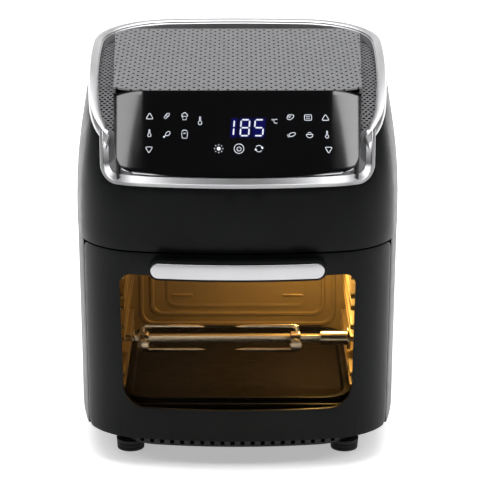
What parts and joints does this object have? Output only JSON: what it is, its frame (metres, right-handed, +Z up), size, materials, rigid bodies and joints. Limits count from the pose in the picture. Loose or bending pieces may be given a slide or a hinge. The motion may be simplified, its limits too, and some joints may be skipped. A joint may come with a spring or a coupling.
{
  "type": "rotisserie oven",
  "caption": "Countertop rotisserie air oven with a drop-down glass door, spit with forks, convection fan and a tilted touch control head",
  "frame": {"origin": "centre of the bounding box on the table plane, under the feet", "axes": "+Z up, -Y is the front where the door opens, +X is the right side seen from the front"},
  "size_m": [0.315, 0.3419, 0.3766],
  "materials": {
    "shell_black": "satin black moulded ABS",
    "base_grey": "dark grey moulded plastic",
    "rubber_black": "black rubber",
    "silver_trim": "silver metallised plastic, satin bright",
    "panel_gloss": "glossy black touch panel",
    "grille_grey": "grey perforated sheet",
    "pod_grey": "dark grey plastic",
    "board_green": "circuit board",
    "display_dark": "seven segment display block",
    "oven_steel": "stainless sheet, warm lit",
    "enamel_dark": "dark non-stick coated sheet",
    "bright_steel": "polished steel rod",
    "zinc_steel": "zinc plated steel",
    "heater_steel": "sheathed heating tube",
    "motor_metal": "motor can",
    "lamp_glass": "clear lamp glass",
    "lamp_socket": "white ceramic-like socket",
    "door_glass": "tinted tempered glass",
    "gasket_grey": "silicone seal",
    "switch_red": "switch plunger",
    "screw_black": "blackened steel screw"
  },
  "bodies": {
    "cabinet": {"base_pan": "base_grey", "cavity_front_frame": "enamel_dark", "cavity_liner": "oven_steel", "control_panel": "panel_gloss", "control_pod": "pod_grey", "cord_gland": "rubber_black", "display_board": "board_green", "display_module": "display_dark", "door_switch_body": "pod_grey", "drip_tray": "enamel_dark", "fan_chamber": "zinc_steel", "fan_guard": "oven_steel", "fan_motor": "motor_metal", "feet_screws": "zinc_steel", "front_trim": "silver_trim", "heating_element": "heater_steel", "hinge_brackets": "zinc_steel", "lamp_glass": "lamp_glass", "lamp_holder": "lamp_socket", "lower_housing": "shell_black", "motor_bracket": "zinc_steel", "power_board": "board_green", "rear_cover": "shell_black", "rear_cover_screws": "screw_black", "rotisserie_motor": "motor_metal", "rubber_feet": "rubber_black", "side_grille": "grille_grey", "spit_bearing": "bright_steel", "temperature_probe": "bright_steel", "top_grille": "grille_grey", "top_trim_ring": "silver_trim", "upper_housing": "shell_black"},
    "door": {"door_shell": "shell_black", "door_outer_glass": "door_glass", "door_inner_glass": "door_glass", "door_inner_frame": "shell_black", "door_gasket": "gasket_grey", "handle_body": "shell_black", "handle_face": "silver_trim", "handle_screws": "zinc_steel", "hinge_pins": "bright_steel"},
    "spit": {"spit_rod": "bright_steel", "drive_socket": "bright_steel"},
    "fork_left": {"left_fork": "bright_steel"},
    "fork_right": {"right_fork": "bright_steel"},
    "screw_left": {"left_fork_screw": "bright_steel"},
    "screw_right": {"right_fork_screw": "bright_steel"},
    "fans": {"convection_fan": "motor_metal", "cooling_fan": "pod_grey", "fan_shaft": "bright_steel"},
    "switch_button": {"door_switch_plunger": "switch_red"}
  },
  "joints": [
    {"name": "door_hinge", "type": "hinge", "parent": "cabinet", "child": "door", "pos_m": [0, -0.128, 0.038], "axis": [1, 0, 0], "range_deg": [0, 85]},
    {"name": "spit_spin", "type": "hinge", "parent": "cabinet", "child": "spit", "pos_m": [0, -0.039, 0.0955], "axis": [1, 0, 0], "continuous": true},
    {"name": "left_fork_slide", "type": "slide", "parent": "spit", "child": "fork_left", "axis": [1, 0, 0], "range_m": [0, 0.026]},
    {"name": "right_fork_slide", "type": "slide", "parent": "spit", "child": "fork_right", "axis": [1, 0, 0], "range_m": [-0.02, 0.018]},
    {"name": "left_screw_turn", "type": "hinge", "parent": "fork_left", "child": "screw_left", "pos_m": [-0.092, -0.039, 0.0955], "axis": [0, 1, 0], "range_deg": [0, 360]},
    {"name": "right_screw_turn", "type": "hinge", "parent": "fork_right", "child": "screw_right", "pos_m": [0.057, -0.039, 0.0955], "axis": [0, 1, 0], "range_deg": [0, 360]},
    {"name": "fan_spin", "type": "hinge", "parent": "cabinet", "child": "fans", "pos_m": [0, 0.005, 0.25], "axis": [0, 0, 1], "continuous": true},
    {"name": "door_switch_press", "type": "slide", "parent": "cabinet", "child": "switch_button", "axis": [0, 1, 0], "range_m": [0, 0.002], "stiffness_N_per_m": 300}
  ]
}
